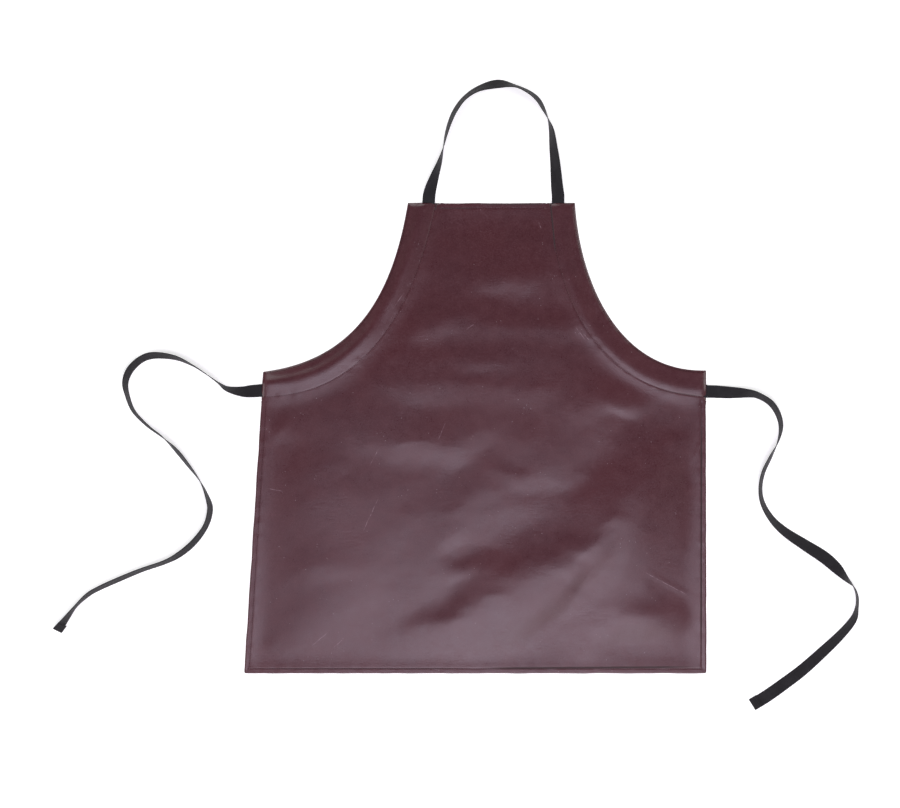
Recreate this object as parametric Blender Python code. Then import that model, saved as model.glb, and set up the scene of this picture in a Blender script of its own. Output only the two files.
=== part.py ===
"""Bib apron of coated oxblood sheet, laid flat, with one black tape through two sewn channels.

Metres, +Z up from the surface it lies on, +Y towards the neck, +X to the right as seen from the front.
The origin is on the surface, at the middle of the box round the panel and the neck loop.
"""
import math

import bmesh
import bpy
from mathutils import Matrix, Vector

# ---- driving dimensions -------------------------------------------------------------------------
SHEET = 0.0010           # thickness of the coated sheet
GAP = 0.0003             # clearance between neighbouring pieces
TAPE_WIDTH = 0.019       # flat woven tape
TAPE_THICK = 0.0012
THREAD_WIDE = 0.0006     # sewing thread as it lies along a seam
THREAD_HIGH = 0.0005

BIB_TOP = 0.260          # y of the bib's top edge
HEM_BOTTOM = -0.4455     # y of the bottom edge
BIB_LEFT = -0.101
BIB_RIGHT = 0.1495
WAIST_LEFT = (-0.318, 0.007)
WAIST_RIGHT = (0.346, 0.009)
CORNER_LEFT = (-0.347, HEM_BOTTOM)
CORNER_RIGHT = (0.347, HEM_BOTTOM)

HEM_WIDTH = 0.009        # turned under at the top, the sides and the bottom
TOP_HEM_INSET = 0.007    # from a channel seam to the end of the top hem
EDGE_ALLOWANCE = 0.013   # turned seam allowance inside the armhole edge
SEAM_ALLOWANCE = 0.005   # facing beyond the channel's inner seam
TAPE_CLEARANCE = 0.001   # between the channel's inner seam and the tape
HEM_LINE = 0.0075        # a hem's stitching, from the edge
EDGE_LINE = 0.003        # the armhole's edge stitching, from the edge
TIE_END_LINE = 0.006     # the tacking across a tie, from its end
TIE_END_MARGIN = 0.0025  # from the tacking to the tape's edges

CHANNEL_STATIONS = 24    # sections along an armhole channel
TAPE_STATIONS = 3        # sections between two route points of a free tape

# ---- layers, from the surface upwards -----------------------------------------------------------
TAPE_LOW = SHEET + GAP
TAPE_HIGH = TAPE_LOW + TAPE_THICK
PANEL_LOW = TAPE_HIGH + GAP
PANEL_HIGH = PANEL_LOW + SHEET
THREAD_LOW = PANEL_HIGH + GAP
THREAD_TOP = THREAD_LOW + THREAD_HIGH
HINGE_HEIGHT = PANEL_HIGH + GAP
HINGE_OUT = 0.5 * GAP    # fold axes lie half a gap outside the edge

# ---- curves: armhole edges and channel seams, each a cubic with its two ends and two handles -----
ARMHOLE_LEFT = ((BIB_LEFT, BIB_TOP), (-0.123, 0.129), (-0.174, 0.025), WAIST_LEFT)
ARMHOLE_RIGHT = ((BIB_RIGHT, BIB_TOP), (0.156, 0.147), (0.212, 0.005), WAIST_RIGHT)
SEAM_LEFT = ((-0.059, BIB_TOP), (-0.084, 0.135), (-0.146, -0.030), (-0.3203, -0.0305))
SEAM_RIGHT = ((0.1125, BIB_TOP), (0.120, 0.102), (0.192, -0.023), (0.3461, -0.0305))

# ---- routes of the free tape: x, y and tilt in degrees (0 flat, 90 on edge, past 90 turned over) --
NECK_ROUTE = (
    (-0.0700, 0.2603, 0), (-0.0690, 0.2720, 12), (-0.0660, 0.2840, 30), (-0.0600, 0.3020, 52),
    (-0.0530, 0.3220, 72), (-0.0480, 0.3410, 90), (-0.0440, 0.3600, 102), (-0.0385, 0.3790, 109),
    (-0.0300, 0.3980, 113), (-0.0165, 0.4160, 114), (0.0040, 0.4300, 122), (0.0330, 0.4378, 140),
    (0.0590, 0.4345, 110), (0.0790, 0.4260, 112), (0.0930, 0.4150, 116), (0.1020, 0.4000, 110),
    (0.1090, 0.3840, 92), (0.1140, 0.3670, 70), (0.1170, 0.3410, 53), (0.1195, 0.3200, 42),
    (0.1225, 0.2840, 22), (0.1240, 0.2720, 8), (0.1240, 0.2603, 0),
)
LEFT_ROUTE = (
    (-0.3207, -0.0210, 0), (-0.3340, -0.0220, 10), (-0.3500, -0.0225, 38), (-0.3710, -0.0185, 68),
    (-0.3850, -0.0090, 88), (-0.4050, 0.0050, 94), (-0.4240, 0.0170, 98), (-0.4490, 0.0280, 110),
    (-0.4800, 0.0315, 120), (-0.5000, 0.0255, 118), (-0.5165, 0.0100, 117), (-0.5235, -0.0090, 110),
    (-0.5205, -0.0280, 102), (-0.5110, -0.0520, 98), (-0.4900, -0.0740, 94), (-0.4690, -0.0900, 88),
    (-0.4480, -0.1100, 69), (-0.4300, -0.1320, 70), (-0.4110, -0.1580, 84), (-0.3990, -0.1860, 104),
    (-0.3970, -0.2020, 110), (-0.4035, -0.2240, 110), (-0.4210, -0.2480, 116), (-0.4430, -0.2665, 116),
    (-0.4650, -0.2780, 110), (-0.5000, -0.2900, 110), (-0.5340, -0.3040, 112), (-0.5630, -0.3170, 110),
    (-0.5800, -0.3270, 107), (-0.5980, -0.3440, 99), (-0.6120, -0.3620, 112), (-0.6255, -0.3795, 131),
)
RIGHT_ROUTE = (
    (0.3463, -0.0222, 0), (0.3600, -0.0228, 8), (0.3800, -0.0240, 22), (0.4090, -0.0255, 50),
    (0.4240, -0.0290, 64), (0.4420, -0.0400, 68), (0.4530, -0.0570, 73), (0.4570, -0.0760, 80),
    (0.4525, -0.0980, 94), (0.4420, -0.1200, 110), (0.4310, -0.1430, 114), (0.4265, -0.1670, 114),
    (0.4300, -0.1900, 118), (0.4440, -0.2140, 125), (0.4640, -0.2330, 137), (0.4930, -0.2520, 152),
    (0.5220, -0.2705, 168), (0.5400, -0.2860, 156), (0.5545, -0.3020, 120), (0.5655, -0.3140, 96),
    (0.5710, -0.3290, 90), (0.5705, -0.3460, 87), (0.5650, -0.3640, 68), (0.5470, -0.3860, 57),
    (0.5180, -0.4140, 45), (0.4890, -0.4400, 37), (0.4600, -0.4620, 31), (0.4360, -0.4790, 28),
    (0.4155, -0.4915, 26),
)
MOUTH_LIFT = 0.030       # a tape comes down from its channel's level within this length


def clear_scene():
    for obj in list(bpy.data.objects):
        bpy.data.objects.remove(obj, do_unlink=True)


def material(name, colour, roughness, metallic=0.0):
    mat = bpy.data.materials.new(name)
    mat.use_nodes = True
    shader = mat.node_tree.nodes["Principled BSDF"]
    shader.inputs["Base Color"].default_value = (*colour, 1.0)
    shader.inputs["Roughness"].default_value = roughness
    shader.inputs["Metallic"].default_value = metallic
    return mat


def finish_object(bm, name, mat, origin=(0.0, 0.0, 0.0)):
    """Turn a bmesh in world coordinates into an object whose origin is at the given point."""
    bmesh.ops.recalc_face_normals(bm, faces=bm.faces)
    mesh = bpy.data.meshes.new(name)
    bm.to_mesh(mesh)
    bm.free()
    mesh.transform(Matrix.Translation(-Vector(origin)))
    mesh.materials.append(mat)
    obj = bpy.data.objects.new(name, mesh)
    obj.location = origin
    bpy.context.collection.objects.link(obj)
    return obj


def cubic(points, t):
    """Point of a cubic Bezier curve, as a 2-D vector."""
    a, b, c, d = (Vector(p) for p in points)
    s = 1.0 - t
    return a * s ** 3 + b * 3 * s * s * t + c * 3 * s * t * t + d * t ** 3


def cubic_tangent(points, t):
    a, b, c, d = (Vector(p) for p in points)
    s = 1.0 - t
    return ((b - a) * s * s + (c - b) * 2 * s * t + (d - c) * t * t).normalized()


def stations(count):
    return [i / count for i in range(count + 1)]


def skin_rings(bm, rings):
    """Join closed rings of equal length into one capped tube."""
    loops = [[bm.verts.new(p) for p in ring] for ring in rings]
    for first, second in zip(loops, loops[1:]):
        count = len(first)
        for i in range(count):
            j = (i + 1) % count
            bm.faces.new((first[i], first[j], second[j], second[i]))
    bm.faces.new(list(reversed(loops[0])))
    bm.faces.new(loops[-1])


# ---- the panel ----------------------------------------------------------------------------------
def side_point(waist, corner, y):
    """Point of a straight side edge at a height y."""
    share = (y - waist[1]) / (corner[1] - waist[1])
    return Vector((waist[0] + share * (corner[0] - waist[0]), y))


def panel_outline():
    """Outline counter-clockwise from above, and the two runs of it whose edge is turned under."""
    hem_start = SEAM_LEFT[3][1] - SEAM_ALLOWANCE - 4 * GAP
    armhole_left = [cubic(ARMHOLE_LEFT, t) for t in stations(CHANNEL_STATIONS)]
    armhole_right = [cubic(ARMHOLE_RIGHT, t) for t in stations(CHANNEL_STATIONS)]
    top_right = Vector((SEAM_RIGHT[0][0] - TOP_HEM_INSET, BIB_TOP))
    top_left = Vector((SEAM_LEFT[0][0] + TOP_HEM_INSET, BIB_TOP))
    outline = [top_right, top_left]
    outline += armhole_left
    side_run = [
        side_point(WAIST_LEFT, CORNER_LEFT, hem_start),
        Vector(CORNER_LEFT),
        Vector(CORNER_RIGHT),
        side_point(WAIST_RIGHT, CORNER_RIGHT, hem_start),
    ]
    first = len(outline)
    outline += side_run
    outline += list(reversed(armhole_right))
    return outline, [[0, 1], list(range(first, first + len(side_run)))]


def inward(outline, run, position):
    """Mitred inward vector per metre of inset at one point of a hemmed run."""
    def normal(i, j):
        along = (outline[j] - outline[i]).normalized()
        return Vector((-along.y, along.x))

    here = run[position]
    before = normal(run[position - 1], here) if position > 0 else None
    after = normal(here, run[position + 1]) if position + 1 < len(run) else None
    if before is None or after is None:
        return before or after
    mid = (before + after).normalized()
    return mid / mid.dot(after)


def front_panel(mat):
    """One sheet: the front layer, with its hems folded under it and left open on the inside."""
    outline, runs = panel_outline()
    bm = bmesh.new()
    top = [bm.verts.new((p.x, p.y, PANEL_HIGH)) for p in outline]
    section = {}
    run_ends = set()
    for run in runs:
        run_ends.update((run[0], run[-1]))
        for position, i in enumerate(run):
            into = inward(outline, run, position)
            edge = outline[i]
            fold = edge + into * SHEET
            inner = edge + into * HEM_WIDTH
            section[i] = [
                bm.verts.new((edge.x, edge.y, 0.0)),
                bm.verts.new((inner.x, inner.y, 0.0)),
                bm.verts.new((inner.x, inner.y, SHEET)),
                bm.verts.new((fold.x, fold.y, SHEET)),
                bm.verts.new((fold.x, fold.y, PANEL_LOW)),
            ]
    low = {}
    for i, p in enumerate(outline):
        if i not in section or i in run_ends:
            low[i] = bm.verts.new((p.x, p.y, PANEL_LOW))

    hemmed = {(a, b) for run in runs for a, b in zip(run, run[1:])}
    under = []
    for i in range(len(outline)):
        j = (i + 1) % len(outline)
        if (i, j) in hemmed:
            start = [top[i]] + ([low[i]] if i in low else []) + [section[i][0]]
            end = [section[j][0]] + ([low[j]] if j in low else []) + [top[j]]
            bm.faces.new(start + end)
            for k in range(4):
                bm.faces.new((section[i][k], section[i][k + 1], section[j][k + 1], section[j][k]))
        else:
            bm.faces.new((top[i], low[i], low[j], top[j]))
    for i in range(len(outline)):
        starts = any(i == run[0] for run in runs)
        ends = any(i == run[-1] for run in runs)
        if starts:
            under += [low[i], section[i][4]]
        elif ends:
            under += [section[i][4], low[i]]
        elif i in section:
            under.append(section[i][4])
        else:
            under.append(low[i])
    for i in run_ends:
        bm.faces.new([low[i]] + section[i])
    bm.faces.new(top)
    bm.faces.new(list(reversed(under)))
    return finish_object(bm, "front_panel", mat)


# ---- the armhole channels -----------------------------------------------------------------------
def channel_frame(armhole, seam, t):
    """Outer edge, inner seam and the unit vector from the seam to the edge at one station."""
    outer = cubic(armhole, t)
    inner = cubic(seam, t)
    return outer, inner, (outer - inner).normalized()


def armhole_facing(name, armhole, seam, mat):
    """Shaped strip behind an armhole: flat under the tape, doubled along its two sewn sides."""
    rings = []
    for t in stations(CHANNEL_STATIONS):
        outer, inner, out = channel_frame(armhole, seam, t)
        rim = outer - out * EDGE_ALLOWANCE
        far = inner - out * SEAM_ALLOWANCE
        section = (
            (outer, 0.0), (outer, TAPE_HIGH), (rim, TAPE_HIGH), (rim, SHEET),
            (inner, SHEET), (inner, TAPE_HIGH), (far, TAPE_HIGH), (far, 0.0),
        )
        rings.append([(p.x, p.y, z) for p, z in section])
    bm = bmesh.new()
    skin_rings(bm, rings)
    return finish_object(bm, name, mat)


def channel_tape(name, armhole, seam, mat):
    """The stretch of tape inside a channel, lying along the inner seam."""
    rings = []
    for t in stations(CHANNEL_STATIONS):
        _, inner, out = channel_frame(armhole, seam, t)
        tangent = cubic_tangent(seam, t)
        across = abs(out.x * tangent.y - out.y * tangent.x)
        near = inner + out * TAPE_CLEARANCE
        far = near + out * (TAPE_WIDTH / across)
        rings.append([
            (near.x, near.y, TAPE_LOW), (far.x, far.y, TAPE_LOW),
            (far.x, far.y, TAPE_HIGH), (near.x, near.y, TAPE_HIGH),
        ])
    bm = bmesh.new()
    skin_rings(bm, rings)
    return finish_object(bm, name, mat)


# ---- the free tape ------------------------------------------------------------------------------
def smooth_route(route, start, end):
    """Points of a smooth curve through the route, leaving along start and arriving along end."""
    points = [Vector(p) for p in route]
    last = len(points) - 1
    first_step = (points[1] - points[0]).to_2d().length
    last_step = (points[last] - points[last - 1]).to_2d().length
    slopes = [(points[min(i + 1, last)] - points[max(i - 1, 0)]) * 0.5 for i in range(last + 1)]
    if start:
        slopes[0] = Vector((start[0] * first_step, start[1] * first_step, 0.0))
    if end:
        slopes[last] = Vector((end[0] * last_step, end[1] * last_step, 0.0))
    curve = [points[0]]
    for i in range(last):
        for k in range(1, TAPE_STATIONS + 1):
            s = k / TAPE_STATIONS
            curve.append(
                points[i] * (2 * s ** 3 - 3 * s * s + 1) + slopes[i] * (s ** 3 - 2 * s * s + s)
                + points[i + 1] * (3 * s * s - 2 * s ** 3) + slopes[i + 1] * (s ** 3 - s * s)
            )
    return curve


def tape_frames(route, start, end):
    """Centre, width vector and face normal of every section of a tape lying on the surface."""
    curve = smooth_route(route, start, end)
    last = len(curve) - 1
    lengths = [0.0]
    for a, b in zip(curve, curve[1:]):
        lengths.append(lengths[-1] + (b - a).to_2d().length)
    frames = []
    for i, point in enumerate(curve):
        along = (curve[min(i + 1, last)] - curve[max(i - 1, 0)]).to_2d().normalized()
        if i == 0 and start:
            along = Vector(start)
        if i == last and end:
            along = Vector(end)
        side = Vector((-along.y, along.x, 0.0))
        tilt = math.radians(point.z)
        wide = side * math.cos(tilt) + Vector((0.0, 0.0, math.sin(tilt)))
        face = side * -math.sin(tilt) + Vector((0.0, 0.0, math.cos(tilt)))
        height = 0.5 * (abs(wide.z) * TAPE_WIDTH + abs(face.z) * TAPE_THICK)
        from_mouth = min(lengths[i], lengths[-1] - lengths[i] if end else lengths[-1])
        ease = max(0.0, 1.0 - from_mouth / MOUTH_LIFT)
        height += TAPE_LOW * ease * ease * (3.0 - 2.0 * ease)
        frames.append((Vector((point.x, point.y, height)), wide, face))
    return frames


def free_tape(name, frames, mat, origin):
    half_wide = 0.5 * TAPE_WIDTH
    half_thick = 0.5 * TAPE_THICK
    rings = []
    for centre, wide, face in frames:
        rings.append([
            centre + wide * (a * half_wide) + face * (b * half_thick)
            for a, b in ((-1, -1), (1, -1), (1, 1), (-1, 1))
        ])
    bm = bmesh.new()
    skin_rings(bm, rings)
    return finish_object(bm, name, mat, origin)


def tie_end_stitching(name, frames, mat, origin):
    """Tacking across the folded end of a tie, on its upper face."""
    tip, wide, face = frames[-1]
    along = (tip - frames[-2][0]).normalized()
    if face.z < 0.0:
        face = -face
    base = tip - along * TIE_END_LINE + face * (0.5 * TAPE_THICK + 2 * GAP)
    half = 0.5 * TAPE_WIDTH - TIE_END_MARGIN
    rings = []
    for side in (-half, half):
        middle = base + wide * side
        rings.append([
            middle + along * (a * 0.5 * THREAD_WIDE) + face * (b * THREAD_HIGH)
            for a, b in ((-1, 0), (1, 0), (1, 1), (-1, 1))
        ])
    bm = bmesh.new()
    skin_rings(bm, rings)
    return finish_object(bm, name, mat, origin)


# ---- stitching ----------------------------------------------------------------------------------
def seam_thread(name, path, mat):
    """A line of thread lying on the panel's front along a path of 2-D points."""
    last = len(path) - 1
    rings = []
    for i, point in enumerate(path):
        along = (path[min(i + 1, last)] - path[max(i - 1, 0)]).normalized()
        side = Vector((-along.y, along.x)) * (0.5 * THREAD_WIDE)
        left = point + side
        right = point - side
        rings.append([
            (left.x, left.y, THREAD_LOW), (right.x, right.y, THREAD_LOW),
            (right.x, right.y, THREAD_TOP), (left.x, left.y, THREAD_TOP),
        ])
    bm = bmesh.new()
    skin_rings(bm, rings)
    return finish_object(bm, name, mat)


def hem_stitching(mat):
    """Threads of the top, bottom and side hems; the side threads stop short of the bottom one."""
    across = HEM_BOTTOM + HEM_LINE
    above = across + THREAD_WIDE + GAP
    under_channel = SEAM_LEFT[3][1] - SEAM_ALLOWANCE - 4 * GAP
    top_y = BIB_TOP - HEM_LINE
    seam_thread("top_hem_stitching", [
        Vector((SEAM_LEFT[0][0] + TOP_HEM_INSET, top_y)),
        Vector((SEAM_RIGHT[0][0] - TOP_HEM_INSET, top_y)),
    ], mat)
    seam_thread("bottom_hem_stitching", [
        Vector((CORNER_LEFT[0] + GAP, across)), Vector((CORNER_RIGHT[0] - GAP, across)),
    ], mat)
    for name, waist, corner, into in (
        ("left_side_stitching", WAIST_LEFT, CORNER_LEFT, HEM_LINE),
        ("right_side_stitching", WAIST_RIGHT, CORNER_RIGHT, -HEM_LINE),
    ):
        shift = Vector((into, 0.0))
        low = side_point(waist, corner, above) + shift
        high = side_point(waist, corner, under_channel) + shift
        seam_thread(name, [low, high], mat)


def channel_stitching(side, armhole, seam, mat):
    """The two seams of a channel: along the armhole edge and just beyond the tape."""
    edge_path = []
    seam_path = []
    for t in stations(CHANNEL_STATIONS):
        outer, inner, out = channel_frame(armhole, seam, t)
        edge_path.append(outer - out * EDGE_LINE)
        seam_path.append(inner - out * (0.5 * SEAM_ALLOWANCE))
    seam_thread(side + "_armhole_edge_stitching", edge_path, mat)
    seam_thread(side + "_channel_stitching", seam_path, mat)


def main():
    clear_scene()
    leather = material("oxblood_coated_sheet", (0.107, 0.043, 0.056), 0.38)
    backing = material("oxblood_facing", (0.090, 0.036, 0.048), 0.45)
    webbing = material("black_tape", (0.020, 0.017, 0.025), 0.75)
    thread = material("oxblood_thread", (0.060, 0.022, 0.030), 0.60)

    front_panel(leather)
    for side, armhole, seam in (
        ("left", ARMHOLE_LEFT, SEAM_LEFT),
        ("right", ARMHOLE_RIGHT, SEAM_RIGHT),
    ):
        armhole_facing(side + "_armhole_facing", armhole, seam, backing)
        channel_tape(side + "_channel_tape", armhole, seam, webbing)
        channel_stitching(side, armhole, seam, thread)
    hem_stitching(thread)

    neck_axis = (0.0, BIB_TOP + HINGE_OUT, HINGE_HEIGHT)
    neck_frames = tape_frames(NECK_ROUTE, (0.0, 1.0), (0.0, -1.0))
    free_tape("neck_loop", neck_frames, webbing, neck_axis)
    for side, route, start in (
        ("left", LEFT_ROUTE, (-1.0, 0.0)),
        ("right", RIGHT_ROUTE, (1.0, 0.0)),
    ):
        axis = (route[0][0] - start[0] * HINGE_OUT, route[0][1], HINGE_HEIGHT)
        frames = tape_frames(route, start, None)
        free_tape(side + "_tie", frames, webbing, axis)
        tie_end_stitching(side + "_tie_end_stitching", frames, thread, axis)


main()
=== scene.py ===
import math
import random

import bmesh
import bpy
import numpy as np
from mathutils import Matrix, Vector
from mathutils.geometry import delaunay_2d_cdt
from mathutils.kdtree import KDTree


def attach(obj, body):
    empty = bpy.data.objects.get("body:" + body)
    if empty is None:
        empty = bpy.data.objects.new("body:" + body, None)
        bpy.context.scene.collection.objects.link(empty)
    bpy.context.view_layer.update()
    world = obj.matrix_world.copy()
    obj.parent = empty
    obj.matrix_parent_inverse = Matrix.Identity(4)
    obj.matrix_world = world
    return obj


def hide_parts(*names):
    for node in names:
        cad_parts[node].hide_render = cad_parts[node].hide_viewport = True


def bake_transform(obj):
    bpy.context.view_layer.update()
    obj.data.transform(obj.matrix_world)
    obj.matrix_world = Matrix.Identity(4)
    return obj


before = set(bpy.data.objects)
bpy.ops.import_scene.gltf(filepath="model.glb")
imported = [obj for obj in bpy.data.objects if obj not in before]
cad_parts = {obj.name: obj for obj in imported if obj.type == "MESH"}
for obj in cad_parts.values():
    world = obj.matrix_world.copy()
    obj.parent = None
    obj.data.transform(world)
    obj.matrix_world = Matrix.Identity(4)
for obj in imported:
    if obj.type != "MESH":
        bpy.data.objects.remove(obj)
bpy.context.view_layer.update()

MM = 0.001

# ---- sizes shared with the CAD model ----
SHEET = 1.0 * MM
GAP = 0.3 * MM
TAPE_WIDTH = 19.0 * MM
TAPE_THICK = 1.2 * MM
TAPE_LOW = SHEET + GAP
BIB_TOP = 0.260
HEM_BOTTOM = -0.4455
WAIST_LEFT = (-0.318, 0.007)
WAIST_RIGHT = (0.346, 0.009)
CORNER_LEFT = (-0.347, HEM_BOTTOM)
CORNER_RIGHT = (0.347, HEM_BOTTOM)
ARMHOLE_LEFT = ((-0.101, BIB_TOP), (-0.123, 0.129), (-0.174, 0.025), WAIST_LEFT)
ARMHOLE_RIGHT = ((0.1495, BIB_TOP), (0.156, 0.147), (0.212, 0.005), WAIST_RIGHT)
SEAM_LEFT = ((-0.059, BIB_TOP), (-0.084, 0.135), (-0.146, -0.030), (-0.3203, -0.0305))
SEAM_RIGHT = ((0.1125, BIB_TOP), (0.120, 0.102), (0.192, -0.023), (0.3461, -0.0305))
HEM_WIDTH = 9.0 * MM
TOP_HEM_INSET = 7.0 * MM
EDGE_ALLOWANCE = 13.0 * MM
SEAM_ALLOWANCE = 5.0 * MM
TAPE_CLEARANCE = 1.0 * MM
HEM_LINE = 7.5 * MM
EDGE_LINE = 3.0 * MM
TIE_END_LINE = 6.0 * MM
SIDE_HEM_TOP = SEAM_LEFT[3][1] - SEAM_ALLOWANCE - 4 * GAP
SIDES = (("left", ARMHOLE_LEFT, SEAM_LEFT), ("right", ARMHOLE_RIGHT, SEAM_RIGHT))

# x, y and tilt of the free tape's routes, as in the CAD source: 0 flat, 90 on edge, past 90 over
NECK_ROUTE = (
    (-0.07, 0.2603, 0), (-0.069, 0.272, 12), (-0.066, 0.284, 30), (-0.06, 0.302, 52),
    (-0.053, 0.322, 72), (-0.048, 0.341, 90), (-0.044, 0.36, 102), (-0.0385, 0.379, 109),
    (-0.03, 0.398, 113), (-0.0165, 0.416, 114), (0.004, 0.43, 122), (0.033, 0.4378, 140),
    (0.059, 0.4345, 110), (0.079, 0.426, 112), (0.093, 0.415, 116), (0.102, 0.4, 110),
    (0.109, 0.384, 92), (0.114, 0.367, 70), (0.117, 0.341, 53), (0.1195, 0.32, 42),
    (0.1225, 0.284, 22), (0.124, 0.272, 8), (0.124, 0.2603, 0),
)
LEFT_ROUTE = (
    (-0.3207, -0.021, 0), (-0.334, -0.022, 10), (-0.35, -0.0225, 38), (-0.371, -0.0185, 68),
    (-0.385, -0.009, 88), (-0.405, 0.005, 94), (-0.424, 0.017, 98), (-0.449, 0.028, 110),
    (-0.48, 0.0315, 120), (-0.5, 0.0255, 118), (-0.5165, 0.01, 117), (-0.5235, -0.009, 110),
    (-0.5205, -0.028, 102), (-0.511, -0.052, 98), (-0.49, -0.074, 94), (-0.469, -0.09, 88),
    (-0.448, -0.11, 69), (-0.43, -0.132, 70), (-0.411, -0.158, 84), (-0.399, -0.186, 104),
    (-0.397, -0.202, 110), (-0.4035, -0.224, 110), (-0.421, -0.248, 116), (-0.443, -0.2665, 116),
    (-0.465, -0.278, 110), (-0.5, -0.29, 110), (-0.534, -0.304, 112), (-0.563, -0.317, 110),
    (-0.58, -0.327, 107), (-0.598, -0.344, 99), (-0.612, -0.362, 112), (-0.6255, -0.3795, 131),
)
RIGHT_ROUTE = (
    (0.3463, -0.0222, 0), (0.36, -0.0228, 8), (0.38, -0.024, 22), (0.409, -0.0255, 50),
    (0.424, -0.029, 64), (0.442, -0.04, 68), (0.453, -0.057, 73), (0.457, -0.076, 80),
    (0.4525, -0.098, 94), (0.442, -0.12, 110), (0.431, -0.143, 114), (0.4265, -0.167, 114),
    (0.43, -0.19, 118), (0.444, -0.214, 125), (0.464, -0.233, 137), (0.493, -0.252, 152),
    (0.522, -0.2705, 168), (0.54, -0.286, 156), (0.5545, -0.302, 120), (0.5655, -0.314, 96),
    (0.571, -0.329, 90), (0.5705, -0.346, 87), (0.565, -0.364, 68), (0.547, -0.386, 57),
    (0.518, -0.414, 45), (0.489, -0.44, 37), (0.46, -0.462, 31), (0.436, -0.479, 28),
    (0.4155, -0.4915, 26),
)


def add_object(name, data):
    obj = bpy.data.objects.new(name, data)
    bpy.context.scene.collection.objects.link(obj)
    return obj


# ---- camera ----
camera = add_object("camera", bpy.data.cameras.new("camera"))
camera.data.lens = 85.0
camera.data.sensor_width = 36.0
camera.location = (-0.0379, -0.0413, 3.1875)
bpy.context.scene.camera = camera


# ---- shader nodes ----
class Nodes:
    """Builds a material's node tree around its Principled BSDF."""

    def __init__(self, name, colour, roughness, specular=0.5):
        self.material = bpy.data.materials.new(name)
        self.material.use_nodes = True
        self.tree = self.material.node_tree
        self.shader = self.tree.nodes["Principled BSDF"]
        self.set("Base Color", (*colour, 1.0))
        self.set("Roughness", roughness)
        self.set("Specular IOR Level", specular)

    def set(self, socket, value):
        if isinstance(value, bpy.types.NodeSocket):
            self.tree.links.new(value, self.shader.inputs[socket])
        else:
            self.shader.inputs[socket].default_value = value

    def feed(self, socket, value):
        if isinstance(value, bpy.types.NodeSocket):
            self.tree.links.new(value, socket)
        elif value is not None:
            socket.default_value = value

    def add(self, kind, inputs, **settings):
        """A new node with its settings, its inputs fed by name or by number."""
        node = self.tree.nodes.new(kind)
        for key, value in settings.items():
            setattr(node, key, value)
        for socket, value in inputs.items():
            self.feed(node.inputs[socket], value)
        return node

    def math(self, operation, a, b=None):
        return self.add("ShaderNodeMath", {0: a, 1: b}, operation=operation).outputs[0]

    def plus(self, a, b):
        return self.math("ADD", a, b)

    def times(self, a, b):
        return self.math("MULTIPLY", a, b)

    def highest(self, masks):
        top = masks[0]
        for mask in masks[1:]:
            top = self.math("MAXIMUM", top, mask)
        return top

    def vector(self, operation, a, b):
        node = self.add("ShaderNodeVectorMath", {0: a, 1: b}, operation=operation)
        return node.outputs["Value" if operation == "DOT_PRODUCT" else "Vector"]

    def spread(self, value, low, high, to_low=0.0, to_high=1.0):
        """Smooth from to_low, where the value is low or less, to to_high, where it is high or more."""
        inputs = dict(enumerate((value, low, high, to_low, to_high)))
        return self.add("ShaderNodeMapRange", inputs, interpolation_type="SMOOTHSTEP").outputs[0]

    def noise(self, place, scale, detail=2.0, roughness=0.5, distortion=0.0):
        inputs = {"Vector": place, "Scale": scale, "Detail": detail, "Roughness": roughness}
        return self.add("ShaderNodeTexNoise", {**inputs, "Distortion": distortion}).outputs["Fac"]

    def cells(self, place, scale, feature="F1"):
        inputs = {"Vector": place, "Scale": scale}
        return self.add("ShaderNodeTexVoronoi", inputs, feature=feature).outputs["Distance"]

    def stretch(self, place, factors, turn):
        inputs = {"Vector": place, "Scale": factors, "Rotation": (0.0, 0.0, turn)}
        return self.add("ShaderNodeMapping", inputs).outputs[0]

    def mix(self, share, first, second):
        first, second = (c if isinstance(c, bpy.types.NodeSocket) else (*c, 1.0) for c in (first, second))
        return self.add("ShaderNodeMix", {0: share, 6: first, 7: second}, data_type="RGBA").outputs[2]

    def bump(self, height, distance, strength, under=None):
        inputs = {"Strength": strength, "Distance": distance, "Height": height, "Normal": under}
        return self.add("ShaderNodeBump", inputs).outputs[0]

    def place(self):
        return self.add("ShaderNodeTexCoord", {}).outputs["Object"]

    def uv(self):
        uv = self.add("ShaderNodeTexCoord", {}).outputs["UV"]
        return self.add("ShaderNodeSeparateXYZ", {0: uv}).outputs[:2]


# scratches seen on the sheet: middle, angle in degrees, half length
SCRATCHES = (
    (-0.050, -0.082, 68, 0.015), (-0.151, -0.120, 62, 0.016), (-0.157, -0.208, 65, 0.030),
    (0.158, 0.064, -52, 0.013), (0.166, 0.060, -48, 0.008), (-0.008, 0.074, 38, 0.008),
    (-0.300, -0.170, -12, 0.012), (-0.232, -0.393, 40, 0.018), (-0.205, -0.400, 42, 0.010),
    (0.097, 0.226, -70, 0.006), (-0.116, 0.112, 55, 0.016), (0.285, -0.310, -28, 0.040),
)
# painted shade along the seams, as dark lines: middle, angle in degrees, half length, half width, strength
PAINTED_SEAM_SHADE = (
    (0.3388, -0.236, 89.9, 0.200, 0.0017, 0.85), (0.170, -0.4365, 0.35, 0.175, 0.0020, 0.85),
    (-0.165, -0.4378, 0.1, 0.180, 0.0012, 0.50), (0.1158, 0.228, -84.3, 0.044, 0.0017, 0.85),
    (-0.030, 0.2520, 0.0, 0.030, 0.0012, 0.55), (-0.0592, 0.2545, 84.0, 0.006, 0.0016, 0.80),
    (0.055, 0.2575, 0.0, 0.055, 0.0014, 0.55), (0.300, -0.0245, -8.0, 0.040, 0.0010, 0.35),
)


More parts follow.
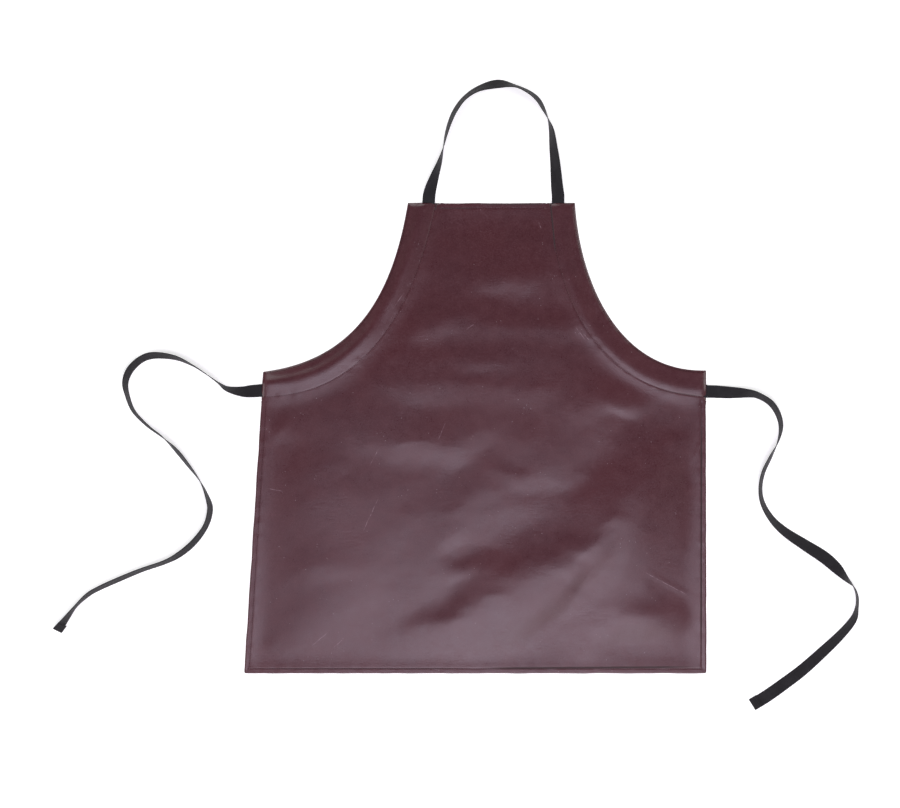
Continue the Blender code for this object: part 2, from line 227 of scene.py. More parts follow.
def line_mask(n, place, x, y, angle, half, near, far):
    """1 along a straight line, fading to 0 across it and at its ends."""
    along = (math.cos(math.radians(angle)), math.sin(math.radians(angle)), 0.0)
    across = (-along[1], along[0], 0.0)
    arm = n.vector("SUBTRACT", place, (x, y, 0.0))
    off = n.math("ABSOLUTE", n.vector("DOT_PRODUCT", arm, across))
    run = n.math("ABSOLUTE", n.vector("DOT_PRODUCT", arm, along))
    return n.times(n.spread(off, near, far, 1.0, 0.0), n.spread(run, half * 0.6, half, 1.0, 0.0))


def scratch_mask(n, place):
    """The thin scratches, bent and broken by noise."""
    bend = n.vector("SUBTRACT", n.noise(place, 70.0).node.outputs["Color"], (0.5, 0.5, 0.5))
    bent = n.vector("ADD", place, n.vector("MULTIPLY", bend, (2.2 * MM, 2.2 * MM, 0.0)))
    masks = [line_mask(n, bent, *scratch, 0.2 * MM, 0.6 * MM) for scratch in SCRATCHES]
    return n.times(n.highest(masks), n.spread(n.noise(place, 160.0, 2.0), 0.38, 0.62, 0.08, 0.60))


def painted_seam_shade_mask(n, place):
    """Painted shade: dark lines along the seams, where their creases fall into shade."""
    return n.highest([
        n.times(line_mask(n, place, x, y, angle, half, wide * 0.3, wide), strength)
        for x, y, angle, half, wide, strength in PAINTED_SEAM_SHADE
    ])


def scuff_mask(n, place, broad, mottle):
    """Two sets of faint strokes, each in patches of its own."""
    strokes = n.noise(n.stretch(place, (20.0, 260.0, 1.0), 0.9), 1.0, 3.0, 0.6)
    others = n.noise(n.stretch(place, (300.0, 26.0, 1.0), 0.35), 1.0, 3.0, 0.6)
    return n.highest([n.times(n.spread(strokes, 0.68, 0.80), n.spread(mottle, 0.45, 0.62)),
                      n.times(n.spread(others, 0.70, 0.82), n.spread(broad, 0.48, 0.62))])


def drag_height(n, place):
    """Fine parallel drags in two directions, each in patches of its own."""
    drags = n.noise(n.stretch(place, (45.0, 330.0, 1.0), 0.10), 1.0, 3.0, 0.65, 1.2)
    others = n.noise(n.stretch(place, (60.0, 300.0, 1.0), -0.60), 1.0, 3.0, 0.65, 1.2)
    where = n.noise(place, 13.0, 2.0)
    return n.plus(n.times(n.spread(drags, 0.3, 0.7), n.spread(where, 0.52, 0.66)),
                  n.times(n.spread(others, 0.3, 0.7), n.spread(where, 0.34, 0.48, 1.0, 0.0)))


def coated_sheet(name, scratched_and_seam_shaded):
    """Smooth coated oxblood sheet: soft gloss, mottled dye, fine grain, specks; where asked, scratches and
    painted shade along the seams.
    """
    n = Nodes(name, (0.045, 0.007, 0.012), 0.33)
    place = n.place()
    broad = n.noise(place, 7.0, 4.0, 0.55)
    mottle = n.noise(place, 55.0, 4.0, 0.6)
    fine = n.noise(place, 420.0, 3.0, 0.7)
    speckle = n.noise(place, 1150.0, 1.0, 0.5)
    grain = n.cells(place, 950.0, "SMOOTH_F1")
    colour = n.mix(n.spread(broad, 0.35, 0.65), (0.041, 0.0060, 0.0108), (0.048, 0.0072, 0.0118))
    colour = n.mix(n.spread(mottle, 0.35, 0.75, 0.0, 0.25), colour, (0.070, 0.016, 0.022))
    colour = n.mix(n.spread(fine, 0.45, 0.8, 0.0, 0.35), colour, (0.092, 0.028, 0.038))
    rare = n.math("GREATER_THAN", n.noise(place, 37.0, 1.0), 0.60)
    dust = n.times(n.math("LESS_THAN", n.cells(place, 150.0), 0.085), rare)
    colour = n.mix(n.times(dust, 0.35), colour, (0.42, 0.34, 0.38))
    rough = n.plus(n.spread(mottle, 0.3, 0.7, 0.295, 0.325), n.spread(fine, 0.3, 0.8, 0.0, 0.06))
    if scratched_and_seam_shaded:
        scratched = scratch_mask(n, place)
        colour = n.mix(scratched, colour, (0.24, 0.15, 0.18))
        rough = n.plus(rough, n.times(scratched, 0.12))
    colour = n.mix(n.times(scuff_mask(n, place, broad, mottle), 0.35), colour, (0.13, 0.06, 0.075))
    colour = n.mix(n.spread(speckle, 0.45, 0.80, 0.0, 0.30), colour, (0.115, 0.045, 0.055))
    rough = n.plus(rough, n.spread(speckle, 0.30, 0.72, -0.035, 0.035))
    # painted shade: near-black, duller lines along the seams, where their creases fall into shade
    if scratched_and_seam_shaded:
        painted_seam_shade = painted_seam_shade_mask(n, place)
        colour = n.mix(painted_seam_shade, colour, (0.013, 0.0022, 0.0034))
        rough = n.plus(rough, n.times(painted_seam_shade, 0.40))
    normal = None
    for height, distance, strength in (
        (grain, 0.03, 0.6), (drag_height(n, place), 0.16, 0.28), (speckle, 0.05, 0.8),
        (fine, 0.08, 0.6), (mottle, 0.30, 0.12),
    ):
        normal = n.bump(height, distance * MM, strength, normal)
    n.set("Base Color", colour)
    n.set("Roughness", rough)
    n.set("Normal", normal)
    return n.material


def sheet_back(name):
    """Dull napped back of the sheet."""
    n = Nodes(name, (0.05, 0.02, 0.02), 0.9, 0.25)
    place = n.place()
    nap = n.noise(place, 900.0, 4.0, 0.7)
    patch = n.noise(place, 14.0, 4.0, 0.6)
    colour = n.mix(n.spread(nap, 0.3, 0.7), (0.050, 0.018, 0.019), (0.115, 0.052, 0.050))
    n.set("Base Color", n.mix(n.spread(patch, 0.35, 0.7, 0.0, 0.5), colour, (0.070, 0.026, 0.028)))
    n.set("Sheen Weight", 0.35)
    n.set("Sheen Roughness", 0.5)
    n.set("Normal", n.bump(nap, 0.0003, 0.8))
    return n.material


def cut_edge(name):
    """Raw cut through the sheet: a pale core under the darker coating."""
    n = Nodes(name, (0.10, 0.045, 0.048), 0.8, 0.3)
    place = n.place()
    fibres = n.noise(place, 1500.0, 3.0, 0.7)
    n.set("Base Color", n.mix(fibres, (0.055, 0.020, 0.024), (0.165, 0.080, 0.085)))
    n.set("Normal", n.bump(fibres, 0.0002, 0.7))
    return n.material


RIB_PITCH = 1.3 * MM
WARP_PITCH = 0.9 * MM


def woven_tape(name):
    """Black woven tape: weft ribs across, warp ends along, selvages lightened as a painted highlight. UVs
    are in metres.
    """
    n = Nodes(name, (0.011, 0.009, 0.012), 0.8, 0.22)
    across, along = n.uv()
    place = n.place()
    fuzz = n.noise(place, 1100.0, 3.0, 0.7)
    wear = n.noise(place, 45.0, 3.0, 0.6)
    turn = 2.0 * math.pi
    skew = n.plus(along, n.times(across, 0.55))
    rib = n.math("SINE", n.times(skew, turn / RIB_PITCH))
    end = n.math("SINE", n.times(across, turn / WARP_PITCH))
    weave = n.plus(n.plus(n.times(rib, 0.35), n.times(end, 0.22)), n.times(fuzz, 0.7))
    from_middle = n.math("ABSOLUTE", n.math("SUBTRACT", across, 0.5 * TAPE_WIDTH))
    selvage_highlight = n.spread(from_middle, 0.5 * TAPE_WIDTH - 1.7 * MM, 0.5 * TAPE_WIDTH - 0.9 * MM)
    colour = n.mix(n.spread(weave, 0.0, 0.9), (0.0050, 0.0044, 0.0056), (0.016, 0.014, 0.018))
    colour = n.mix(n.spread(wear, 0.45, 0.75, 0.0, 0.4), colour, (0.022, 0.020, 0.024))
    # painted highlight: the selvages lightened, where the tape's edges catch the light
    n.set("Base Color", n.mix(n.times(selvage_highlight, 0.35), colour, (0.026, 0.024, 0.028)))
    n.set("Roughness", n.spread(fuzz, 0.3, 0.7, 0.66, 0.86))
    n.set("Sheen Weight", 0.10)
    n.set("Sheen Roughness", 0.45)
    n.set("Normal", n.bump(weave, 0.00016, 0.9))
    return n.material


def thread(name, dark, light):
    """Sewing thread with its twist."""
    n = Nodes(name, dark, 0.8, 0.2)
    place = n.place()
    twist = n.noise(n.stretch(place, (1.0, 1.0, 1.0), 0.8), 2600.0, 2.0)
    n.set("Base Color", n.mix(twist, dark, light))
    n.set("Normal", n.bump(twist, 0.00008, 0.7))
    return n.material


def plain_floor():
    """White ground that gives a little light of its own, so it stays white in low views."""
    n = Nodes("pale_floor", (0.93, 0.93, 0.935), 0.9, 0.1)
    n.set("Emission Color", (1.0, 1.0, 1.0, 1.0))
    n.set("Emission Strength", 0.35)
    return n.material


FRONT = coated_sheet("oxblood_coating", True)
FACING_FRONT = coated_sheet("oxblood_facing", False)
BACK = sheet_back("napped_back")
CUT = cut_edge("cut_edge")
TAPE = woven_tape("black_tape")
SEAM_THREAD = thread("oxblood_thread", (0.016, 0.004, 0.006), (0.038, 0.010, 0.014))
TAPE_THREAD = thread("black_thread", (0.012, 0.011, 0.013), (0.040, 0.037, 0.042))


# ---- curves ----
def cubic(points, t):
    """Points of a cubic Bezier curve at an array of t."""
    a, b, c, d = (np.array(p, float) for p in points)
    t = np.atleast_1d(t)[:, None]
    s = 1.0 - t
    return a * s ** 3 + 3 * b * s * s * t + 3 * c * s * t * t + d * t ** 3


def lengths_of(path):
    steps = np.linalg.norm(np.diff(path, axis=0), axis=1)
    return np.concatenate(([0.0], np.cumsum(steps)))


def points_at(path, at):
    """Points of a path at the given lengths along it."""
    run = lengths_of(path)
    return np.stack([np.interp(at, run, path[:, k]) for k in range(path.shape[1])], axis=1)


def resample(path, spacing):
    """The same path with even steps of about the given spacing."""
    path = np.asarray(path, float)
    whole = lengths_of(path)[-1]
    count = max(2, int(round(whole / spacing)) + 1)
    return points_at(path, np.linspace(0.0, whole, count))


def tangents(path):
    d = np.gradient(path, axis=0)
    return d / np.maximum(np.linalg.norm(d, axis=1, keepdims=True), 1e-12)


def left_of(vectors):
    return np.stack([-vectors[:, 1], vectors[:, 0]], axis=1)


def channel_frame(armhole, seam, t):
    """Points on an armhole and on its inner seam, with the unit vectors and distances between them."""
    outer, inner = cubic(armhole, t), cubic(seam, t)
    width = np.linalg.norm(outer - inner, axis=1)
    return outer, inner, (outer - inner) / width[:, None], width


def tape_middle(armhole, seam, t):
    """Middle of the tape inside a channel."""
    _, inner, out, _ = channel_frame(armhole, seam, t)
    step = 1e-3
    tangent = cubic(seam, np.clip(t + step, 0, 1)) - cubic(seam, np.clip(t - step, 0, 1))
    tangent /= np.linalg.norm(tangent, axis=1, keepdims=True)
    across = np.abs(out[:, :1] * tangent[:, 1:] - out[:, 1:] * tangent[:, :1])
    return inner + out * (TAPE_CLEARANCE + 0.5 * TAPE_WIDTH / across)


# ---- meshes ----
def new_piece(name, bm, materials, body):
    """A smooth-shaded object made of the bmesh, riding on its body where one is given."""
    mesh = bpy.data.meshes.new(name)
    bm.normal_update()
    bm.to_mesh(mesh)
    bm.free()
    for m in materials:
        mesh.materials.append(m)
    for polygon in mesh.polygons:
        polygon.use_smooth = True
    obj = add_object(name, mesh)
    if body:
        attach(obj, body)
    return obj


def skin(bm, rings, uvs=None):
    """Rings joined into a capped tube; uvs holds a (u, v) for every ring point, seam included."""
    layer = bm.loops.layers.uv.verify() if uvs is not None else None
    loops = [[bm.verts.new(p) for p in ring] for ring in rings]
    for k, (first, second) in enumerate(zip(loops, loops[1:])):
        count = len(first)
        for i in range(count):
            j = (i + 1) % count
            face = bm.faces.new((first[i], first[j], second[j], second[i]))
            if layer:
                spots = (uvs[k][i], uvs[k][i + 1], uvs[k + 1][i + 1], uvs[k + 1][i])
                for loop, spot in zip(face.loops, spots):
                    loop[layer].uv = spot
    for k, cap in ((0, list(reversed(loops[0]))), (-1, loops[-1])):
        face = bm.faces.new(cap)
        if layer:
            spots = dict(zip(loops[k], uvs[k]))
            for loop in face.loops:
                loop[layer].uv = spots[loop.vert]


# ---- the free tape ----
TAPE_STATIONS = 7        # sections between two route points
INSIDE = 15.0 * MM       # how far a free tape reaches into its channel
FOLDED_END = 12.0 * MM   # turned back at a tie's end
FOLD_RADIUS = 0.65 * MM
FOLD_ANGLES = [math.pi * step / 8 for step in range(1, 9)]
MOUTH_LIFT = 30.0 * MM   # the tape comes down to the table over this length
AIR = 0.05 * MM          # under a tape
CUP = 0.28 * MM
WIDE_STEPS = (-1.0, -0.965, -0.86, -0.5, 0.0, 0.5, 0.86, 0.965, 1.0)
HIGH_STEPS = (0.30, 0.82, 1.0, 0.92, 0.88, 0.92, 1.0, 0.82, 0.30)


def inside_points(armhole, seam, at_start):
    """Two route points inside the channel's mouth, deepest first."""
    t = np.linspace(0.0, 0.2, 60) if at_start else np.linspace(1.0, 0.8, 60)
    return [(x, y, 0.0) for x, y in points_at(tape_middle(armhole, seam, t), (INSIDE, 0.5 * INSIDE))]


def route_frames(route, inside_before, inside_after):
    """Centre, width vector, face normal and length of each section, as in the CAD source."""
    points = np.array(list(inside_before) + list(route) + list(reversed(inside_after)), float)
    last = len(points) - 1
    slopes = np.array([
        (points[min(i + 1, last)] - points[max(i - 1, 0)]) * 0.5 for i in range(last + 1)
    ])
    curve = [points[0]]
    for i in range(last):
        for k in range(1, TAPE_STATIONS + 1):
            s = k / TAPE_STATIONS
            curve.append(
                points[i] * (2 * s ** 3 - 3 * s * s + 1) + slopes[i] * (s ** 3 - 2 * s * s + s)
                + points[i + 1] * (3 * s * s - 2 * s ** 3) + slopes[i + 1] * (s ** 3 - s * s)
            )
    curve = np.array(curve)
    run = lengths_of(curve[:, :2])
    before = run[TAPE_STATIONS * len(inside_before)]
    after = run[-1] - run[len(curve) - 1 - TAPE_STATIONS * len(inside_after)]
    along = tangents(curve[:, :2])
    frames = []
    for i in range(len(curve)):
        side = Vector((-along[i][1], along[i][0], 0.0))
        tilt = math.radians(curve[i][2])
        wide = side * math.cos(tilt) + Vector((0.0, 0.0, math.sin(tilt)))
        face = side * -math.sin(tilt) + Vector((0.0, 0.0, math.cos(tilt)))
        from_mouth = run[i] - before
        if inside_after:
            from_mouth = min(from_mouth, run[-1] - after - run[i])
        ease = 1.0 - min(max(from_mouth / MOUTH_LIFT, 0.0), 1.0)
        height = 0.5 * (abs(wide.z) * TAPE_WIDTH + abs(face.z) * TAPE_THICK) + AIR
        height += TAPE_LOW * ease * ease * (3.0 - 2.0 * ease)
        frames.append((Vector((curve[i][0], curve[i][1], height)), wide, face, run[i]))
    return frames


def folded_end(frames):
    """Frames with the tie's end turned back on itself over its upper side."""
    tip, wide, face, run = frames[-1]
    along = (tip - frames[-2][0]).normalized()
    sign = 1.0 if face.z > 0.0 else -1.0
    up = face * sign
    more = []
    for angle in FOLD_ANGLES:
        centre = tip + (along * math.sin(angle) + up * (1 - math.cos(angle))) * FOLD_RADIUS
        turned = (up * math.cos(angle) - along * math.sin(angle)) * sign
        more.append((centre, wide, turned, run + FOLD_RADIUS * angle))
    base, length = more[-1][0], more[-1][3]
    for step in range(1, 6):
        back = FOLDED_END * step / 5
        more.append((base - along * back, wide, -face, length + back))
    return frames + more


def tape_piece(name, frames, body, seed):
    """Tape of the woven section: flat, thicker at its selvages, very slightly cupped."""
    phase = random.Random(seed).uniform(0.0, 6.28)
    profile = list(zip(WIDE_STEPS, HIGH_STEPS))
    profile += [(w, -h) for w, h in zip(reversed(WIDE_STEPS), reversed(HIGH_STEPS))]
    rings, uvs = [], []
    for centre, wide, face, run in frames:
        cup = CUP * math.sin(run * 61.0 + phase) * math.sin(run * 23.0 + 2.0 * phase)
        cup *= min(1.0, abs(wide.z) * 2.0)
        ring, spots = [], []
        for w, h in profile:
            bow = cup * (1.0 - w * w)
            ring.append(centre + wide * (w * 0.5 * TAPE_WIDTH) + face * (h * 0.5 * TAPE_THICK + bow))
            spots.append(((w + 1.0) * 0.5 * TAPE_WIDTH, run))
        rings.append(ring)
        uvs.append(spots + [spots[0]])
    bm = bmesh.new()
    skin(bm, rings, uvs)
    bmesh.ops.recalc_face_normals(bm, faces=bm.faces)
    return new_piece(name, bm, [TAPE], body)


neck_frames = route_frames(
    NECK_ROUTE, inside_points(ARMHOLE_LEFT, SEAM_LEFT, True), inside_points(ARMHOLE_RIGHT, SEAM_RIGHT, True))
left_frames = route_frames(LEFT_ROUTE, inside_points(ARMHOLE_LEFT, SEAM_LEFT, False), [])
right_frames = route_frames(RIGHT_ROUTE, inside_points(ARMHOLE_RIGHT, SEAM_RIGHT, False), [])

FREE_TAPES = (           # piece, node, frames, route, place it folds at, way out, far end
    ("neck_tape", "neck_loop", neck_frames, NECK_ROUTE, (0.027, BIB_TOP), (0, 1), "object"),
    ("left_tie_tape", "left_tie", left_frames, LEFT_ROUTE,
     (SEAM_LEFT[3][0], LEFT_ROUTE[0][1]), (-1, 0), "bare"),
    ("right_tie_tape", "right_tie", right_frames, RIGHT_ROUTE,
     (SEAM_RIGHT[3][0], RIGHT_ROUTE[0][1]), (1, 0), "bare"),
)
for seed, (name, node, frames, route, (x, y), way, far_end) in enumerate(FREE_TAPES, 1):
    piece = tape_piece(name, folded_end(frames) if far_end == "bare" else frames, None, seed)
    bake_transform(piece)
    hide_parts(node)


# ---- the panel's plan ----
FOLD = 0.6 * MM          # radius of a hem's fold at the middle of the sheet
FOLD_INSET = FOLD + 0.5 * SHEET
LOW = 0.65 * MM          # middle of a sheet that lies on the table
HEM_LEVEL = LOW + 2 * FOLD
CHANNEL_LEVEL = 3.15 * MM
SPACING = 2.8 * MM       # of the panel's mesh
RIM_STEP = 2.2 * MM      # between two points of its boundary
RIM_ROWS = (0.5, 1.1, 1.9, 3.0, 4.6)                   # rows of points in from the edge, in mm
SEAM_ROWS = (0.0, -0.8, 0.8, -1.8, 1.8, -3.0, 3.0)     # and either side of a seam, in mm
SEAM_STEP = 0.5 * MM
HEM_STEPS = 4
CORNER_RADIUS = 3 * MM
OUTLINE_WAVE = 0.35 * MM
FREE_CURL = (8.0 * MM, 2.0 * MM)      # how far in a free edge curls down, and how deep
HEM_CURL = (1.6 * MM, 0.25 * MM)
PUCKER = 0.05 * MM                    # each stitch draws the sheet in a little
PUCKER_PITCH = 3.5 * MM
SEAM_UNEVEN = 0.16 * MM
GROOVE, DRAWN_IN, UNEVEN = 1.2 * MM, 2.4 * MM, 6 * MM     # how far from a seam each reaches


def ripple(run, seed, longest):
    """Smooth irregularity between -1 and 1 along a length."""
    draw = random.Random(seed)
    total = np.zeros_like(run)
    for k in range(4):
        wave = longest * (0.75 ** k) * draw.uniform(0.8, 1.2)
        total += np.sin(2 * math.pi * run / wave + draw.uniform(0, 6.28)) * 0.8 ** k
    return total / 2.6


def side_point(waist, corner, y):
    share = (y - waist[1]) / (corner[1] - waist[1])
    return (waist[0] + share * (corner[0] - waist[0]), y)


def rounded_corner(corner, before, after, radius):
    """A few points round a corner between two neighbours."""
    corner, before, after = (np.array(p) for p in (corner, before, after))
    a = corner + (before - corner) / np.linalg.norm(before - corner) * radius
    b = corner + (after - corner) / np.linalg.norm(after - corner) * radius
    return [tuple(a * (1 - s) ** 2 + 2 * corner * s * (1 - s) + b * s * s) for s in np.linspace(0, 1, 6)]


def panel_edges():
    """The outline counter-clockwise as runs of points: (points, hemmed)."""
    armhole_l = cubic(ARMHOLE_LEFT, np.linspace(0, 1, 400))
    armhole_r = cubic(ARMHOLE_RIGHT, np.linspace(1, 0, 400))
    top_l, top_r = SEAM_LEFT[0][0] + TOP_HEM_INSET, SEAM_RIGHT[0][0] - TOP_HEM_INSET
    left_start = side_point(WAIST_LEFT, CORNER_LEFT, SIDE_HEM_TOP)
    right_start = side_point(WAIST_RIGHT, CORNER_RIGHT, SIDE_HEM_TOP)
    skirt = [left_start]
    skirt += rounded_corner(CORNER_LEFT, left_start, CORNER_RIGHT, CORNER_RADIUS)
    skirt += rounded_corner(CORNER_RIGHT, CORNER_LEFT, right_start, CORNER_RADIUS)
    skirt.append(right_start)
    return [
        ([(top_r, BIB_TOP), (top_l, BIB_TOP)], True),
        ([(top_l, BIB_TOP), tuple(armhole_l[0])], False),
        (armhole_l, False),
        ([tuple(armhole_l[-1]), left_start], False),
        (skirt, True),
        ([right_start, tuple(armhole_r[0])], False),
        (armhole_r, False),
        ([tuple(armhole_r[-1]), (top_r, BIB_TOP)], False),
    ]


def panel_boundary():
    """Boundary points at even steps, whether each is hemmed, and their outward normals."""
    points, hemmed = [], []
    for path, hem in panel_edges():
        even = resample(path, RIM_STEP)[:-1]
        points.append(even)
        hemmed += [hem] * len(even)
    points = np.concatenate(points)
    hemmed = np.array(hemmed)
    ahead = np.roll(points, -1, axis=0) - np.roll(points, 1, axis=0)
    ahead /= np.linalg.norm(ahead, axis=1, keepdims=True)
    outward = np.stack([ahead[:, 1], -ahead[:, 0]], axis=1)
    run = np.arange(len(points)) * RIM_STEP
    soft = np.convolve(np.tile(hemmed.astype(float), 3), np.ones(5) / 5, "same")
    soft = soft[len(points):2 * len(points)]
    wave = ripple(run, 11, 0.09) * OUTLINE_WAVE * soft
    points = points - outward * (0.25 * MM + FOLD_INSET * soft + wave)[:, None]
    return points, hemmed, outward


def seam_lines():
    """Every sewn line of the panel as even 2-D points, by the name of its CAD thread."""
    across = HEM_BOTTOM + HEM_LINE
    t = np.linspace(0.004, 0.996, 500)
    lines = {
        "top_hem_stitching": [(SEAM_LEFT[0][0] + TOP_HEM_INSET, BIB_TOP - HEM_LINE),
                              (SEAM_RIGHT[0][0] - TOP_HEM_INSET, BIB_TOP - HEM_LINE)],
        "bottom_hem_stitching": [(CORNER_LEFT[0] + 4 * MM, across), (CORNER_RIGHT[0] - 4 * MM, across)],
    }
    for name, waist, corner, into in (
        ("left_side_stitching", WAIST_LEFT, CORNER_LEFT, HEM_LINE),
        ("right_side_stitching", WAIST_RIGHT, CORNER_RIGHT, -HEM_LINE),
    ):
        low = side_point(waist, corner, across + 2.5 * MM)
        high = side_point(waist, corner, SIDE_HEM_TOP)
        lines[name] = [(low[0] + into, low[1]), (high[0] + into, high[1])]
    for side, armhole, seam in SIDES:
        outer, inner, out, _ = channel_frame(armhole, seam, t)
        lines[side + "_armhole_edge_stitching"] = outer - out * EDGE_LINE
        lines[side + "_channel_stitching"] = inner
    return {name: resample(path, 2.0 * MM) for name, path in lines.items()}


BOUNDARY, HEMMED, OUTWARD = panel_boundary()
SEAMS = seam_lines()


def tree_of(points):
    tree = KDTree(len(points))
    for i, p in enumerate(points):
        tree.insert((p[0], p[1], 0.0), i)
    tree.balance()
    return tree


def distances(tree, points):
    return np.array([tree.find((x, y, 0.0))[2] for x, y in points])


EDGE_TREE = tree_of(resample(np.vstack([BOUNDARY, BOUNDARY[:1]]), SEAM_STEP))
FINE_SEAMS = {name: resample(path, SEAM_STEP) for name, path in SEAMS.items()}
SEAM_TREE = tree_of(np.vstack(list(FINE_SEAMS.values())))
SEAM_DEPTHS = {     # of the groove at the line's first and last point, in mm
    "top_hem_stitching": (0.30, 0.30), "bottom_hem_stitching": (0.26, 0.40),
    "left_side_stitching": (0.10, 0.04), "right_side_stitching": (0.34, 0.34),
    "left_armhole_edge_stitching": (0.20, 0.12), "right_armhole_edge_stitching": (0.16, 0.20),
    "left_channel_stitching": (0.34, 0.10), "right_channel_stitching": (0.28, 0.36),
}
PULL = np.concatenate([np.linspace(*SEAM_DEPTHS[name], len(path)) * MM
                       for name, path in FINE_SEAMS.items()])

# ---- how the sheet lies ----
# Gentle undulation of the laid sheet, as patches that lean: middle, half length and half width in mm,
# direction in degrees and lean in degrees, positive where the surface falls towards the window side.
LEANS = (
    (-40, 238, 50, 10, 2, 3.2), (50, 212, 65, 18, 0, -2.2), (-20, 182, 30, 7, 20, 1.0),
    (30, 165, 65, 14, 5, -2.6), (90, 182, 25, 8, 0, 0.9), (72, 128, 56, 13, 4, 3.6),
    (-10, 113, 35, 7, 15, 1.5), (-75, 148, 28, 10, 15, 1.4), (60, 96, 65, 12, 0, -3.0),
    (-50, 100, 45, 12, 10, -3.0), (-112, 60, 45, 15, 42, -3.4), (-55, 70, 42, 14, 12, 3.8),
    (30, 67, 25, 9, 5, 2.0), (150, 64, 40, 13, -3, 3.6), (-10, 34, 80, 10, 0, -1.7),
    (22, 13, 25, 6, 0, 2.2), (-10, -5, 40, 6, -3, -1.7), (-125, 0, 25, 9, 0, -1.4),
    (-90, -23, 55, 11, -10, 3.0), (60, -30, 40, 14, -5, 2.0), (195, -5, 36, 22, -25, -3.2),
    (225, -52, 22, 9, -8, 6.0), (290, -46, 36, 14, -3, 3.6), (135, -60, 50, 18, -28, 2.0),
    (255, -82, 55, 18, 3, -3.6), (263, -123, 28, 16, 10, -5.0), (215, -150, 45, 26, 60, -3.0),
    (318, -120, 16, 24, 70, 5.5), (-304, -64, 12, 12, 0, -5.0), (-300, -92, 13, 11, 0, 11.0),
    (-245, -130, 32, 20, 20, -2.6), (-92, -112, 50, 13.5, -4, 4.6), (-15, -108, 30, 12, 14, 3.0),
    (-45, -132, 45, 10, 3, 1.8), (30, -128, 30, 10, -20, -1.4), (80, -122, 34, 12, -48, 3.2),
    (110, -163, 40, 13, -3, 3.6), (65, -168, 28, 18, -30, 1.8), (15, -190, 22, 9, 10, 2.0),
    (-22, -222, 36, 14, 60, 2.2), (60, -215, 35, 14, -5, 2.6), (-26, -260, 15, 12, 0, 6.0),
    (8, -280, 30, 18, 0, -6.0), (85, -264, 60, 26, 15, -6.0), (165, -205, 62, 34, 50, -9.0),
    (225, -140, 52, 34, 52, -7.4), (5, -325, 60, 16, 30, -6.4), (-55, -360, 50, 15, 20, -4.6),
    (-12, -303, 22, 5, 10, 1.8), (182, -268, 45, 11, 58, 5.0), (225, -315, 45, 16, 58, -2.0),
    (132, -325, 36, 12, 50, 3.8), (80, -372, 40, 16, 30, 5.0), (60, -412, 16, 22, 0, 4.0),
    (162, -384, 46, 24, 62, -10.5), (205, -340, 40, 10, 66, 4.0), (242, -386, 45, 18, 3, 4.0),
    (310, -380, 28, 15, 0, 2.4), (262, -334, 38, 13, -12, -4.6), (250, -424, 50, 10, 2, -6.0),
    (285, -240, 55, 45, 75, 3.0), (-155, -322, 26, 26, 0, 1.8), (-230, -297, 30, 10, 8, 2.0),
    (-262, -360, 20, 22, 0, -1.4), (-285, -420, 26, 12, 0, 2.6), (-225, -260, 45, 14, 5, -1.4),
    (-200, -165, 55, 14, 8, -1.4), (-60, -185, 32, 16, 0, -1.3), (-130, -250, 30, 12, 25, 1.0),
)
LEAN_TOWARDS = (-0.24, 0.97)     # uphill where a lean is positive
LEAN_GAIN = 1.5
LEAN_REACH = 0.17                # waves longer than about this are left out
# random layers, by size: how far each shifts the patches, and how much each leans, in degrees
STRAY = ((0.045, 5.0 * MM), (0.016, 2.6 * MM), (0.007, 0.9 * MM))
ROUGHNESS = ((0.030, 0.22), (0.012, 0.20), (0.006, 0.14))
# where the tape lifts the sheet, left and right: rise and fall across the channel, height
BULGES = ((21 * MM, 13 * MM, 2.9 * MM), (11 * MM, 20 * MM, 1.2 * MM))
# sharp creases: points, half width, height
CREASES = (
    (((-0.118, -0.103), (-0.095, -0.098), (-0.075, -0.096), (-0.060, -0.101)), 2.0 * MM, 0.13 * MM),
    (((0.345, -0.092), (0.336, -0.104), (0.326, -0.128)), 2.0 * MM, 0.50 * MM),
    (((-0.187, 0.019), (-0.174, 0.026), (-0.165, 0.033)), 2.0 * MM, 0.40 * MM),
    (((0.263, -0.296), (0.290, -0.312), (0.325, -0.330)), 3.0 * MM, 0.25 * MM),
)
CROWN = 2.2 * MM                 # how far the middle of the sheet stands up
SEWN_WAVES = 0.35                # share of the waves over the facings
SOFTNESS = 0.35 * MM             # rounds the lift off where it comes down to zero
STEP = 1.5 * MM
GRID_X = np.arange(-0.366, 0.366 + STEP, STEP)
GRID_Y = np.arange(-0.465, 0.279 + STEP, STEP)


def blur(field, sigma):
    """Gaussian blur of a grid, with its edge values held outside."""
    reach = max(1, int(math.ceil(3 * sigma / STEP)))
    kernel = np.exp(-0.5 * (np.arange(-reach, reach + 1) * STEP / sigma) ** 2)
    kernel /= kernel.sum()
    for axis in (0, 1):
        padded = np.pad(field, [(reach, reach) if a == axis else (0, 0) for a in (0, 1)], "edge")
        field = np.apply_along_axis(lambda row: np.convolve(row, kernel, "valid"), axis, padded)
    return field


def spread_high(field, reach):
    """Each point takes the highest value within about the given reach."""
    for _ in range(max(1, int(round(reach / STEP)))):
        up = np.pad(field, 1, "edge")
        field = np.maximum.reduce([field, up[:-2, 1:-1], up[2:, 1:-1], up[1:-1, :-2], up[1:-1, 2:]])
    return field


